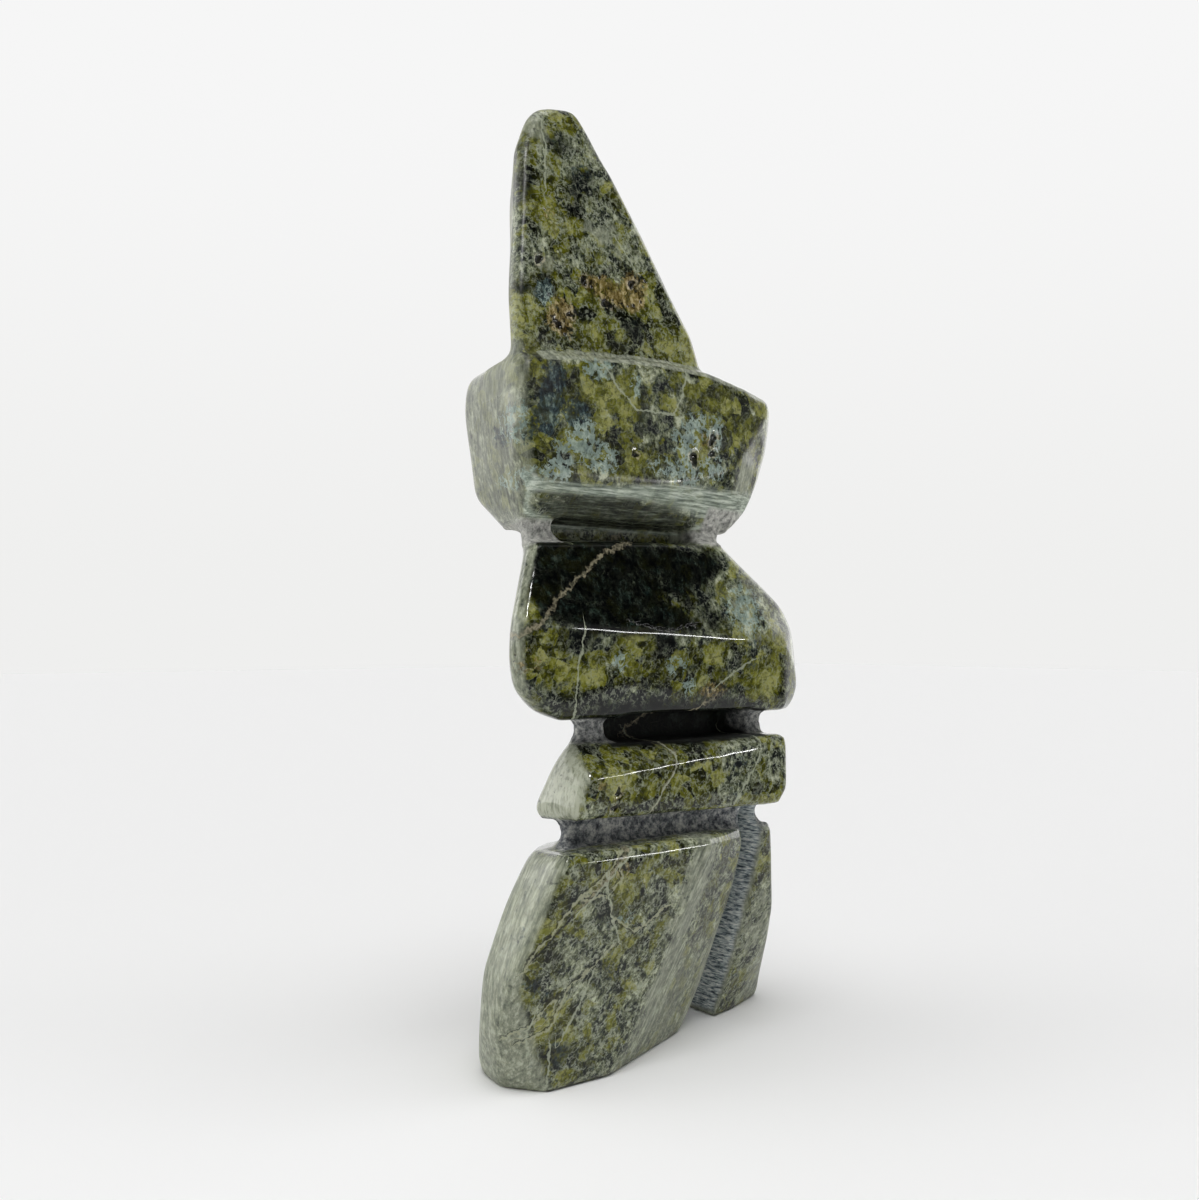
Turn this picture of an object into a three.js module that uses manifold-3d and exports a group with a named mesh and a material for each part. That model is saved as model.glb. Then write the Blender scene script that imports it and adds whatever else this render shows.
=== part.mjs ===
// Inukshuk: a cairn figure of stacked stones, carved from one block of green serpentine.
//
// Millimetres, +Z up. X runs across the broad face of the figure and -Y is its front.
// Every stone of the cairn is a convex block with its edges rubbed round. Recessed necks join
// the stones, and a saw cut parts the two legs. All of it is one solid.

import * as THREE from 'three';
import { ConvexGeometry } from 'three/addons/geometries/ConvexGeometry.js';
import { mergeVertices } from 'three/addons/utils/BufferGeometryUtils.js';
import Module from 'manifold-3d';

const wasm = await Module();
wasm.setup();

// Heights, from the floor up
const LEG_HEIGHT = 57.6;
const HIP_NECK_HEIGHT = 6;
const WAIST_HEIGHT = 20.5;
const BELLY_NECK_HEIGHT = 5.6;
const TORSO_HEIGHT = 48;
const THROAT_NECK_HEIGHT = 1.2;
const SHOULDER_HEIGHT = 46;
const HEAD_HEIGHT = 67;

// Widths and depths of the stones, where each begins, and how far its edges are rubbed round
const NEAR_LEG = { width: 85, depth: 44, left: -4, front: -1.5, edge: 2.2 };
const FAR_LEG = { width: 34.2, depth: 51, left: 76, front: 4, edge: 2.2 };
const WAIST = { width: 79.3, depth: 37, left: 15, front: 1.2, edge: 2.2 };
const TORSO = { width: 106, depth: 39, left: -2, front: -0.5, edge: 3 };
const SHOULDER = { width: 91.5, depth: 41, left: 1.8, front: 4.4, edge: 3.4 };
const HEAD = { width: 67, depth: 30, left: 1.4, front: 8, edge: 3 };

// Necks. A neck's right end splays by its flare towards the back, and a hollow between two
// posts sets the middle of a front back. A hollow runs a little below and above its neck.
const NECK_BITE = 1.5;
const NECK_SPLAY_DEPTH = 0.4;
const NECK_BACK_TAPER = 0.75;
const HIP_NECK = { width: 67.5, depth: 22, left: 18, front: 9.5, flare: 7, edge: 1.2 };
const BELLY_NECK = { width: 67, depth: 20, left: 24, front: 12, flare: 1, edge: 1.2 };
const BELLY_HOLLOW = { leftPost: 10, rightPost: 6.5, depth: 9, below: 1, above: 1, edge: 2.4 };
const THROAT_NECK = { width: 67.5, depth: 21, left: 7, front: 12, flare: 1, edge: 1.2 };
const THROAT_HOLLOW = { leftPost: 10, rightPost: 9, depth: 9, below: 1, above: 2, edge: 2.4 };

// The saw cut between the legs
const CUT_WIDTH = 6.4;
const CUT_WIDTH_IN_NECK = 4.2;
const CUT_FOOT = 76.2;
const CUT_TOP = 82.4;
const CUT_BOW = 1.8;
const CUT_SEGMENTS = 10;

// How far the head and the throat's neck start down in the stone below, and how much is ground
// off the soles
const HEAD_SINK = 4;
const THROAT_SINK = 3;
const SOLE_GRIND = 0.3;

// Fineness of the rounded corners, the pull that holds a corner's ball near it, and how close
// two points or two faces are to count as one
const BALL_DETAIL = 3;
const SEAT_PULL = 0.02;
const SAME_POINT = 1e-4;
const SAME_FACE = 0.9999;

const SERPENTINE_GREEN = 0x4c5638;
const SERPENTINE_ROUGHNESS = 0.22;

// Running heights of the joints between the stones
const hipZ = LEG_HEIGHT;
const waistZ = hipZ + HIP_NECK_HEIGHT;
const bellyZ = waistZ + WAIST_HEIGHT;
const torsoZ = bellyZ + BELLY_NECK_HEIGHT;
const throatZ = torsoZ + TORSO_HEIGHT;
const shoulderZ = throatZ + THROAT_NECK_HEIGHT;
const headZ = shoulderZ + SHOULDER_HEIGHT - HEAD_SINK;

// Corner rings. A ring is one level of a stone: its rise, then the corners around it, each as
// shares of the stone's width and depth, with a last number where a corner is off the level.
const nearLegRings = [
  [0, [0.07, 0.34], [0.16, 0.1], [0.37, 0.09], [0.8, 0.44], [0.95, 0.75]],
  [0, [0.94, 1], [0.28, 1], [0.09, 0.62]],
  [0.25, [0.02, 0.22], [0.04, 0.45], [0.25, 1], [1.01, 0.575, 0.08]],
  [0.5, [0.025, 0.09], [0.055, 0.46], [1.03, 0.44, 0.12]],
  [0.76, [0.1, 0.06], [0.115, 0.42]],
  [1, [0.18, 0], [0.765, 0.01], [1.03, 0.2, -0.014], [1.03, 0.94]],
  [1, [0.43, 0.94, -0.08], [0.19, 0.38, -0.02]],
];
const farLegRings = [
  [0, [0.03, 0.345], [0.46, 0.41], [0.97, 0.55], [0.9, 1], [0.06, 0.965]],
  [0.54, [0.69, 0.22], [0.11, 0.18]],
  [1, [0.15, 0.025], [0.44, 0.055], [0.57, 0.45], [0.54, 0.78], [0.15, 0.8]],
];
const waistRings = [
  [0, [0.01, 0.026, 0.07], [0.94, 0.03], [0.95, 0.94], [0.2, 0.99, 0.07], [0, 0.5, 0.02]],
  [0.15, [0.995, 0.05]],
  [0.6, [0.06, 0], [0.5, 0, 0.1], [0.7, 0.01, 0.24], [0.035, 0.35, 0.05]],
  [1, [0.09, 0.28], [0.99, 0.05, -0.06], [0.975, 0.92, -0.06], [0.35, 0.94]],
];
const torsoRings = [
  [0, [0.15, 0.11], [0.89, 0.11], [0.97, 0.25], [0.925, 0.95], [0.32, 0.95]],
  [0.05, [0.07, 0.1], [0.27, 0.95]],
  [0.14, [0.02, 0.1], [0.24, 1, 0.04], [1, 0.235]],
  [0.33, [0, 0.11], [0.89, 0.07, 0.06]],
  [0.5, [0.1, 0], [0.7, 0, -0.07], [0.795, 0.03], [0, 0.06, 0.05], [0.94, 0.15]],
  [0.64, [0.9, 0.15], [0.925, 0.9, -0.09], [0.24, 1]],
  [0.93, [0.07, 0.21], [0.7, 0.235, 0.07], [0.68, 0.85, 0.07], [0.265, 0.9, 0.02]],
];
const shoulderRings = [
  [0.01, [0.08, 0.215], [0.855, 0.215, 0.03], [0.84, 0.74], [0.14, 0.7]],
  [0.2, [0.05, 0.035], [0.31, 0.015], [0.55, 0.015, 0.06], [0.81, 0.04, 0.2]],
  [0.2, [0.95, 0.29, -0.03], [0.98, 0.24, 0.18]],
  [0.24, [0.12, 1, -0.03], [0.94, 0.89]],
  [0.55, [0, 0.015], [1, 0.165], [0.08, 1, 0.17], [0.985, 0.89, 0.17]],
  [0.9, [0, 0.015], [0.19, 0.005, 0.05], [0.53, 0.005, 0.1], [0.7, 0.01, 0.085], [0.855, 0.02, 0.03]],
  [0.88, [0.975, 0.05], [1, 0.19, -0.04], [0.96, 0.89]],
  [0.88, [0.53, 0.94, 0.11], [0.08, 0.94, 0.04], [0.02, 0.39, 0.05]],
];
const headRings = [
  [0, [0, 0], [1, 0.03], [0.95, 0.97], [0.31, 1]],
  [0.16, [0, 0.02, 0.04], [0.937, 0.05]],
  [0.65, [0.22, 0.77], [0.07, 0.17, 0.14]],
  [0.9, [0.12, 0.2], [0.2, 0.22, 0.06], [0.37, 0.23, 0.09], [0.44, 0.23, 0.01]],
  [0.98, [0.4, 0.7, 0.02], [0.29, 0.73], [0.53, 0.77, -0.14]],
];

// Corners of a stone in millimetres, from its rings
function cornersOf(stone, base, height, rings) {
  const corners = [];
  for (const [rise, ...ring] of rings) {
    for (const [across, deep, lift = 0] of ring) {
      corners.push(new THREE.Vector3(
        stone.left + across * stone.width,
        stone.front + deep * stone.depth,
        base + (rise + lift) * height,
      ));
    }
  }
  return corners;
}

// The planes of the flat faces that meet at a corner of the sharp block
function planesAt(corner, triangles) {
  const planes = [];
  for (const triangle of triangles) {
    const tips = [triangle.a, triangle.b, triangle.c];
    if (!tips.some((tip) => tip.distanceTo(corner) < SAME_POINT)) continue;
    const plane = triangle.getPlane(new THREE.Plane());
    if (!planes.some((other) => other.normal.dot(plane.normal) > SAME_FACE)) planes.push(plane);
  }
  return planes;
}

// The point as near as can be to one radius inside all those planes, by least squares
function seatOf(corner, planes, radius) {
  const m = new THREE.Matrix3().set(SEAT_PULL, 0, 0, 0, SEAT_PULL, 0, 0, 0, SEAT_PULL);
  const right = new THREE.Vector3();
  for (const { normal: n } of planes) {
    const e = m.elements;
    const v = [n.x, n.y, n.z];
    for (let row = 0; row < 3; row += 1) {
      for (let column = 0; column < 3; column += 1) e[column * 3 + row] += v[row] * v[column];
    }
    right.addScaledVector(n, -radius);
  }
  return corner.clone().add(right.applyMatrix3(m.invert()));
}

// A block with its edges rubbed round: a ball is seated in each corner and all are wrapped
function rubbedBlock(corners, radius) {
  const sharp = new ConvexGeometry(corners).getAttribute('position');
  const triangles = [];
  for (let i = 0; i < sharp.count; i += 3) {
    triangles.push(new THREE.Triangle().setFromAttributeAndIndices(sharp, i, i + 1, i + 2));
  }
  const ball = new THREE.IcosahedronGeometry(radius, BALL_DETAIL).getAttribute('position');
  const cloud = [];
  for (const corner of corners) {
    const planes = planesAt(corner, triangles);
    if (planes.length === 0) continue;
    const seat = seatOf(corner, planes, radius);
    for (let i = 0; i < ball.count; i += 1) {
      cloud.push(new THREE.Vector3().fromBufferAttribute(ball, i).add(seat));
    }
  }
  return new ConvexGeometry(cloud);
}

// A closed geometry as a solid that can be joined and cut
function solidOf(geometry) {
  const bare = geometry.clone();
  bare.deleteAttribute('normal');
  bare.deleteAttribute('uv');
  const merged = mergeVertices(bare, SAME_POINT);
  return new wasm.Manifold(new wasm.Mesh({
    numProp: 3,
    vertProperties: new Float32Array(merged.getAttribute('position').array),
    triVerts: new Uint32Array(merged.getIndex().array),
  }));
}

function stoneOf(size, base, height, rings) {
  return solidOf(rubbedBlock(cornersOf(size, base, height, rings), size.edge));
}

// A straight-sided block, from its outline seen from above
function prismOf(outline, base, top, radius) {
  const corners = [];
  for (const z of [base, top]) {
    for (const [x, y] of outline) corners.push(new THREE.Vector3(x, y, z));
  }
  return solidOf(rubbedBlock(corners, radius));
}

// A neck reaches a little way into the stones above and below it
function neckOf(neck, base, height) {
  const right = neck.left + neck.width;
  const back = neck.front + neck.depth;
  const outline = [
    [neck.left, neck.front],
    [right, neck.front],
    [right + neck.flare, neck.front + neck.depth * NECK_SPLAY_DEPTH],
    [right + neck.flare, back],
    [neck.left + neck.depth * NECK_BACK_TAPER, back],
  ];
  return prismOf(outline, base - NECK_BITE, base + height + NECK_BITE, neck.edge);
}

// The trough between the two posts at the front of a neck
function hollowOf(neck, hollow, base, height) {
  const left = neck.left + hollow.leftPost;
  const right = neck.left + neck.width - hollow.rightPost;
  const front = neck.front - hollow.depth;
  const floor = neck.front + hollow.depth;
  const outline = [[left, front], [right, front], [right, floor], [left, floor]];
  return prismOf(outline, base - hollow.below, base + height + hollow.above, hollow.edge);
}

// The saw cut: a slot through the legs from front to back. Its middle bows away from the near
// leg, and it narrows where it runs up into the neck above.
function legCut() {
  const below = -CUT_WIDTH;
  const half = CUT_WIDTH / 2;
  const halfInNeck = CUT_WIDTH_IN_NECK / 2;
  const bend = (CUT_FOOT + CUT_TOP) / 2 + 2 * CUT_BOW;
  const middle = hipZ / 2;
  const narrows = hipZ - NECK_BITE;
  const outline = new THREE.Shape();
  outline.moveTo(CUT_FOOT - half, below);
  outline.lineTo(CUT_FOOT + half, below);
  outline.quadraticCurveTo(bend + half, middle, CUT_TOP + half, narrows);
  outline.lineTo(CUT_TOP + halfInNeck, hipZ);
  outline.lineTo(CUT_TOP + halfInNeck, waistZ);
  outline.lineTo(CUT_TOP - halfInNeck, waistZ);
  outline.lineTo(CUT_TOP - halfInNeck, hipZ);
  outline.lineTo(CUT_TOP - half, narrows);
  outline.quadraticCurveTo(bend - half, middle, CUT_FOOT - half, below);
  const reach = 3 * FAR_LEG.depth;
  const run = { depth: reach, bevelEnabled: false, curveSegments: CUT_SEGMENTS };
  const slab = new THREE.ExtrudeGeometry(outline, run);
  slab.rotateX(Math.PI / 2);
  slab.translate(0, FAR_LEG.front + reach / 2, 0);
  return solidOf(slab);
}

// All that is below the floor: cutting it away leaves the soles of both feet flat
function groundBelow() {
  const reach = 2 * (NEAR_LEG.width + FAR_LEG.width);
  const ground = new THREE.BoxGeometry(reach, reach, reach);
  ground.translate(0, 0, SOLE_GRIND - reach / 2);
  return solidOf(ground);
}

function carve() {
  const stones = [
    stoneOf(NEAR_LEG, 0, LEG_HEIGHT, nearLegRings),
    stoneOf(FAR_LEG, 0, LEG_HEIGHT, farLegRings),
    neckOf(HIP_NECK, hipZ, HIP_NECK_HEIGHT),
    stoneOf(WAIST, waistZ, WAIST_HEIGHT, waistRings),
    neckOf(BELLY_NECK, bellyZ, BELLY_NECK_HEIGHT),
    stoneOf(TORSO, torsoZ, TORSO_HEIGHT, torsoRings),
    neckOf(THROAT_NECK, throatZ - THROAT_SINK, THROAT_NECK_HEIGHT + THROAT_SINK),
    stoneOf(SHOULDER, shoulderZ, SHOULDER_HEIGHT, shoulderRings),
    stoneOf(HEAD, headZ, HEAD_HEIGHT + HEAD_SINK, headRings),
  ];
  let block = stones[0];
  for (const stone of stones.slice(1)) block = block.add(stone);
  const cuts = [
    legCut(),
    hollowOf(BELLY_NECK, BELLY_HOLLOW, bellyZ, BELLY_NECK_HEIGHT),
    hollowOf(THROAT_NECK, THROAT_HOLLOW, throatZ, THROAT_NECK_HEIGHT),
    groundBelow(),
  ];
  for (const cut of cuts) block = block.subtract(cut);
  return block;
}

// The solid as a three.js geometry with one normal to each face
function geometryOf(solid) {
  const mesh = solid.getMesh();
  const geometry = new THREE.BufferGeometry();
  geometry.setAttribute('position', new THREE.BufferAttribute(new Float32Array(mesh.vertProperties), 3));
  geometry.setIndex(new THREE.BufferAttribute(new Uint32Array(mesh.triVerts), 1));
  const flat = geometry.toNonIndexed();
  flat.computeVertexNormals();
  return flat;
}

const serpentine = new THREE.MeshStandardMaterial({
  color: SERPENTINE_GREEN,
  roughness: SERPENTINE_ROUGHNESS,
  metalness: 0,
});

const inukshuk = new THREE.Mesh(geometryOf(carve()), serpentine);
inukshuk.name = 'inukshuk';

// The origin is on the floor, under the middle of the figure
const group = new THREE.Group();
group.add(inukshuk);
const box = new THREE.Box3().setFromObject(group);
inukshuk.position.set(-(box.min.x + box.max.x) / 2, -(box.min.y + box.max.y) / 2, -box.min.z);

export default group;
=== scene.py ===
# %% [markdown]
# # A polished stone inukshuk
#
# The object is a cairn figure: a broad leg and a narrow leg, a waist slab, a torso, a shoulder
# slab and a tall head. It looks like a pile of stones, but it is carved from one block of green
# serpentine. The faces are polished, and the necks between the stones and the saw cut between
# the legs are left rough from the tool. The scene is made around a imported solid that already
# has the right size and shape, so all the work here is in the surface and in the light.

# %% Load the solid and measure it
import math

import bpy
import numpy as np
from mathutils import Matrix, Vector


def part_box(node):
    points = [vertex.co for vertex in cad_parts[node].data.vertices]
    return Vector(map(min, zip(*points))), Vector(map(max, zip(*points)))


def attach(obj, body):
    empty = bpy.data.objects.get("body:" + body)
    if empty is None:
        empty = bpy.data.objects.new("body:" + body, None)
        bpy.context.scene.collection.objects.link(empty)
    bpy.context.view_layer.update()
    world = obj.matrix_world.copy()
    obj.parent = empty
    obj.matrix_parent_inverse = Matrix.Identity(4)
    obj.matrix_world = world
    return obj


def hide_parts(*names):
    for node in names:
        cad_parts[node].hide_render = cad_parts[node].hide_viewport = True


MM = 0.001

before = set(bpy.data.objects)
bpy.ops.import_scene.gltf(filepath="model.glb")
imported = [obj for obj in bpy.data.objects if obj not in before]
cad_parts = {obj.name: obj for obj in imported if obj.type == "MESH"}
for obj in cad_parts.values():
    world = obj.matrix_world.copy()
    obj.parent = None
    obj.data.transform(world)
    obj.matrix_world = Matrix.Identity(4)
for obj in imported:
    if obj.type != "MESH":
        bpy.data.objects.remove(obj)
bpy.ops.object.select_all(action="DESELECT")
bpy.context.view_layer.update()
figure_low, figure_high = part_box("inukshuk")
print("solid:", [round((high - low) / MM, 1) for low, high in zip(figure_low, figure_high)], "mm")


# %% [markdown]
# ## The camera
#
# The photo was taken from close by, at the height of the torso, so the perspective is strong.
# The camera stands to the left of the figure's front and looks up by about two degrees.
# Distance and lens go together: a longer lens from further away would show the same size of
# figure, but its near leg would no longer look so large.

# %% Put up the camera
CAMERA_TURN = math.radians(37.0)
CAMERA_LIFT = math.radians(1.907)
CAMERA_PLACE = (-210.8 * MM, -266.0 * MM, 109.6 * MM)
CAMERA_LENS = 36.03
CAMERA_SENSOR = 36.0
CAMERA_NEAREST = 0.01

camera_data = bpy.data.cameras.new("photo_camera")
camera_data.lens = CAMERA_LENS
camera_data.sensor_width = CAMERA_SENSOR
camera_data.clip_start = CAMERA_NEAREST
camera = bpy.data.objects.new("photo_camera", camera_data)
camera.location = CAMERA_PLACE
camera.rotation_euler = (math.pi / 2 + CAMERA_LIFT, 0.0, -CAMERA_TURN)
bpy.context.scene.collection.objects.link(camera)
bpy.context.scene.camera = camera
print("camera at", [round(part / MM) for part in camera.location], "mm")


# %% [markdown]
# ## Helpers for node trees
#
# Every finish here is a tree of shader nodes, and a few short helpers build it, always in the
# one that is open under the name tree. With them a cell reads like a recipe: a value fades from
# one level to another, and one colour covers the next where a mask says so. Colours are written
# as on a screen, from 0 to 255, and turned into the linear values that Blender reckons with.

# %% Helpers: colours, nodes and math
def rgb(red, green, blue):
    """A colour as seen on screen, as linear red, green, blue and alpha."""
    linear = []
    for part in (red / 255, green / 255, blue / 255):
        linear.append(part / 12.92 if part <= 0.04045 else ((part + 0.055) / 1.055) ** 2.4)
    return (*linear, 1.0)


def put(kind, inputs=None, **settings):
    """Add one shader node. An input that is a socket is linked, and any other is set."""
    node = tree.nodes.new("ShaderNode" + kind)
    for name, value in settings.items():
        setattr(node, name, value)
    for key, value in (inputs or {}).items():
        if isinstance(value, bpy.types.NodeSocket):
            tree.links.new(value, node.inputs[key])
        else:
            node.inputs[key].default_value = value
    return node


def reckon(operation, *terms):
    """A math node's result."""
    return put("Math", dict(enumerate(terms)), operation=operation).outputs[0]


def reckon_vector(operation, *terms):
    """A vector math node's result."""
    return put("VectorMath", dict(enumerate(terms)), operation=operation).outputs[0]


def times(value, *factors):
    """A value multiplied by one factor after another."""
    for factor in factors:
        value = reckon("MULTIPLY", value, factor)
    return value


def along(vector, direction):
    """How far a vector reaches in a direction."""
    inputs = {0: vector, 1: direction}
    return put("VectorMath", inputs, operation="DOT_PRODUCT").outputs["Value"]


def fade(value, start, end, low=0.0, high=1.0):
    """A smooth step from low to high as value goes from start to end."""
    inputs = {"Value": value, "From Min": start, "From Max": end, "To Min": low, "To Max": high}
    node = put("MapRange", inputs, interpolation_type="SMOOTHSTEP")
    return node.outputs["Result"]


def tint(mask, under, over, strength=1.0):
    """The colour under, covered by the colour over where the mask says so."""
    factor = mask if strength == 1.0 else times(mask, strength)
    node = put("Mix", {0: factor, 6: under, 7: over}, data_type="RGBA")
    return node.outputs[2]


def count(what):
    """Print how many nodes the tree has."""
    print(what + ":", len(tree.nodes), "nodes")


SEED_STEP = (17.3, 41.9, 29.7)


def noise(vector, scale, detail=2.0, roughness=0.5, seed=0.0):
    """A noise texture's outputs. Each seed moves to another place in the pattern."""
    moved = reckon_vector("MULTIPLY_ADD", (seed, seed, seed), SEED_STEP, vector)
    inputs = {"Vector": moved, "Scale": scale, "Detail": detail, "Roughness": roughness}
    return put("TexNoise", inputs, noise_dimensions="3D").outputs


print("a mid grey of 128 is", round(rgb(128, 128, 128)[0], 3), "in linear light")


# %% [markdown]
# ## Floor and light
#
# The photo is taken on a white table in front of a white wall, with soft light from above and
# both sides and a darker room behind the camera. A polished stone shows that room: faces turned
# to the side mirror the white wall and go pale, and faces turned to the camera mirror the dark
# room and keep their own deep colour. A white floor in front of the figure would lay a grey
# veil over them, so the floor's front part is dark for mirrored rays, and white for all others.
# The world has two parts as well. What the stone mirrors is drawn with sharp borders, and what
# lights the scene is a soft version of the same room.

# %% Lay the floor
FLOOR_SIZE = 8.0
FLOOR_CUTS = 7
FLOOR_WHITE = rgb(239, 239, 239)
FLOOR_NEAR_LIT = rgb(246, 246, 246)
NEAR_START, NEAR_FULL = 0.03, -0.08
DARK_FRONT = rgb(24, 24, 25)
DARK_EDGE, DARK_BORDER = -0.21, 0.005
DARK_START, DARK_FULL = 0.3, 0.1
FLOOR_ROUGHNESS = 0.8
FLOOR_SPECULAR = 0.1
AHEAD = (math.sin(CAMERA_TURN), math.cos(CAMERA_TURN), 0.0)
RIGHTWARD = (math.cos(CAMERA_TURN), -math.sin(CAMERA_TURN), 0.0)

bpy.ops.mesh.primitive_plane_add(size=FLOOR_SIZE, location=(0, 0, 0))
floor = bpy.context.object
floor.name = "floor"
bpy.ops.object.mode_set(mode="EDIT")
bpy.ops.mesh.subdivide(number_cuts=FLOOR_CUTS)
bpy.ops.object.mode_set(mode="OBJECT")
floor_paint = bpy.data.materials.new("floor_white")
floor_paint.use_nodes = True
tree = floor_paint.node_tree
floor_shader = tree.nodes["Principled BSDF"]
spot = put("TexCoord").outputs["Object"]
away = along(spot, AHEAD)
# Painted light: the floor is painted lighter towards the camera, to make up for the shade that the
# figure casts on the near floor.
white = tint(fade(away, NEAR_START, NEAR_FULL), FLOOR_WHITE, FLOOR_NEAR_LIT)
depth = put("SeparateXYZ", {0: spot}).outputs[1]
in_front = fade(depth, DARK_EDGE + DARK_BORDER, DARK_EDGE - DARK_BORDER)
mirrored = put("LightPath").outputs["Is Glossy Ray"]
dark = times(in_front, fade(away, DARK_START, DARK_FULL), mirrored)
white = tint(dark, white, DARK_FRONT)
tree.links.new(white, floor_shader.inputs["Base Color"])
floor_shader.inputs["Roughness"].default_value = FLOOR_ROUGHNESS
floor_shader.inputs["Specular IOR Level"].default_value = FLOOR_SPECULAR
floor.data.materials.append(floor_paint)
bpy.ops.object.select_all(action="DESELECT")
print("floor:", len(floor.data.polygons), "faces")

# %% Paint the room that the stone mirrors
BRIGHT_WALL, WALL_AHEAD = (1.1, 1.1, 1.09, 1.0), (0.05, 0.3)
UPPER_WALL, UPPER_RISE = (0.5, 0.5, 0.5, 1.0), (0.45, 0.7)
CEILING_LAMP, CEILING_RISE = (1.9, 1.9, 1.88, 1.0), (0.9, 0.94)
LEFT_PANEL, LEFT_ASIDE, LEFT_AHEAD = (3.6, 3.6, 3.56, 1.0), (-0.55, -0.68), (0.66, 0.45)
RIGHT_PANEL, RIGHT_ASIDE, RIGHT_AHEAD = (2.8, 2.8, 2.77, 1.0), (0.45, 0.6), (0.25, 0.45)
PANEL_RISE = (0.62, 0.5)
LOW_GLOW, GLOW_TOP, GLOW_FOOT = (0.3, 0.31, 0.31, 1.0), (0.42, 0.2), (-0.03, 0.03)
DARK_ROOM = (0.012, 0.013, 0.015, 1.0)

world = bpy.data.worlds.new("white_room")
bpy.context.scene.world = world
world.use_nodes = True
tree = world.node_tree
tree.nodes.clear()
outward = put("TexCoord").outputs["Generated"]
ahead = along(outward, AHEAD)
aside = along(outward, RIGHTWARD)
rise = put("SeparateXYZ", {0: outward}).outputs["Z"]
glow = times(fade(rise, *GLOW_TOP), fade(rise, *GLOW_FOOT))
room = tint(glow, DARK_ROOM, LOW_GLOW)
wall_light = tint(fade(rise, *UPPER_RISE), BRIGHT_WALL, UPPER_WALL)
room = tint(fade(ahead, *WALL_AHEAD), room, wall_light)
room = tint(fade(rise, *CEILING_RISE), room, CEILING_LAMP)
low = fade(rise, *PANEL_RISE)
panel = times(low, fade(aside, *LEFT_ASIDE), fade(ahead, *LEFT_AHEAD))
room = tint(panel, room, LEFT_PANEL)
panel = times(low, fade(aside, *RIGHT_ASIDE), fade(ahead, *RIGHT_AHEAD))
mirrored = tint(panel, room, RIGHT_PANEL)
count("mirrored room")

# %% Paint the soft light, and join the two
SOFT_FRONT = (0.12, 0.12, 0.12, 1.0)
SOFT_BACK, BACK_AHEAD = (0.2, 0.2, 0.2, 1.0), (-0.1, 0.5)
SOFT_LEFT, SOFT_LEFT_ASIDE = (1.2, 1.2, 1.19, 1.0), (-0.5, -0.8)
SOFT_RIGHT, SOFT_RIGHT_ASIDE = (1.6, 1.6, 1.58, 1.0), (0.55, 0.8)
SOFT_RIGHT_AHEAD = (-0.2, 0.2)
SOFT_SIDE_RISE = (0.65, 0.45)
SOFT_TOP, TOP_RISE = (0.62, 0.62, 0.62, 1.0), (0.6, 0.85)
SOFT_LOW, LOW_RISE = (0.8, 0.8, 0.8, 1.0), (0.0, -0.03)
WALL_LOW, WALL_HIGH = rgb(239, 239, 238), rgb(246, 246, 246)
WALL_RISE = (0.0, 0.45)

low = fade(rise, *SOFT_SIDE_RISE)
soft = tint(fade(ahead, *BACK_AHEAD), SOFT_FRONT, SOFT_BACK)
soft = tint(times(low, fade(aside, *SOFT_LEFT_ASIDE)), soft, SOFT_LEFT)
panel = times(low, fade(aside, *SOFT_RIGHT_ASIDE), fade(ahead, *SOFT_RIGHT_AHEAD))
soft = tint(panel, soft, SOFT_RIGHT)
soft = tint(fade(rise, *TOP_RISE), soft, SOFT_TOP)
soft = tint(fade(rise, *LOW_RISE), soft, SOFT_LOW)
rays = put("LightPath")
wall = tint(fade(rise, *WALL_RISE), WALL_LOW, WALL_HIGH)
sky = tint(rays.outputs["Is Glossy Ray"], soft, mirrored)
sky = tint(rays.outputs["Is Camera Ray"], sky, wall)
shine = put("Background", {"Color": sky, "Strength": 1.0})
put("OutputWorld", {"Surface": shine.outputs[0]})
count("world")

# %% [markdown]
# Three wide suns, high at the left, at the right and in front, give the soft shadows beside
# the feet, and the polish doesn't show them. Two bright panes do the opposite: they show only
# in the polish. A low window is placed so that a rounded ridge mirrors it as a thin bright line
# and a flat face doesn't, and a tall pane does the same for the torso's upright edge.

# %% Hang the lamps
CHEST = (0.0, 0.0, 110 * MM)
SOFT_SUN = math.radians(35)
SUNS = {
    "left_sun": (0.3, (-0.43, 0.18, 0.96)),
    "right_sun": (0.3, (0.29, -0.37, 0.96)),
    "front_sun": (1.1, (-0.22, -0.3, 1.04)),
}
PANES = {
    "window": (1.35, (0.62, -0.72, 0.11), (0.27, 0.035)),
    "tall_lamp": (4.0, (-0.41, -0.55, 0.86), (0.07, 0.22)),
}


def lamp(name, kind, energy, place):
    """A lamp at a place, turned to the figure's chest."""
    data = bpy.data.lights.new(name, kind)
    data.energy = energy
    light = bpy.data.objects.new(name, data)
    light.location = place
    aim = Vector(CHEST) - Vector(place)
    light.rotation_euler = aim.to_track_quat("-Z", "Y").to_euler()
    light.visible_camera = False
    bpy.context.scene.collection.objects.link(light)
    return light


for name, (energy, place) in SUNS.items():
    sun = lamp(name, "SUN", energy, place)
    sun.data.angle = SOFT_SUN
    sun.visible_glossy = False
for name, (energy, place, (width, height)) in PANES.items():
    pane = lamp(name, "AREA", energy, place)
    pane.data.shape = "RECTANGLE"
    pane.data.size = width
    pane.data.size_y = height
    pane.visible_diffuse = False
print("lamps:", [*SUNS, *PANES])


# %% [markdown]
# ## The carved stone
#
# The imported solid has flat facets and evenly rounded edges. A hand-polished stone has softer
# edges, faces that are never quite flat, and rough tooled necks, and all that needs a finer
# mesh. So the solid is copied, its loose triangles are welded, and a voxel remesh wraps it in an
# even skin of small quads. A smooth modifier then rubs the edges down as polishing does. A
# second one rubs the sides and the crown further, and the heights near the soles are put back,
# so that the feet still stand flat.

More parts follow.
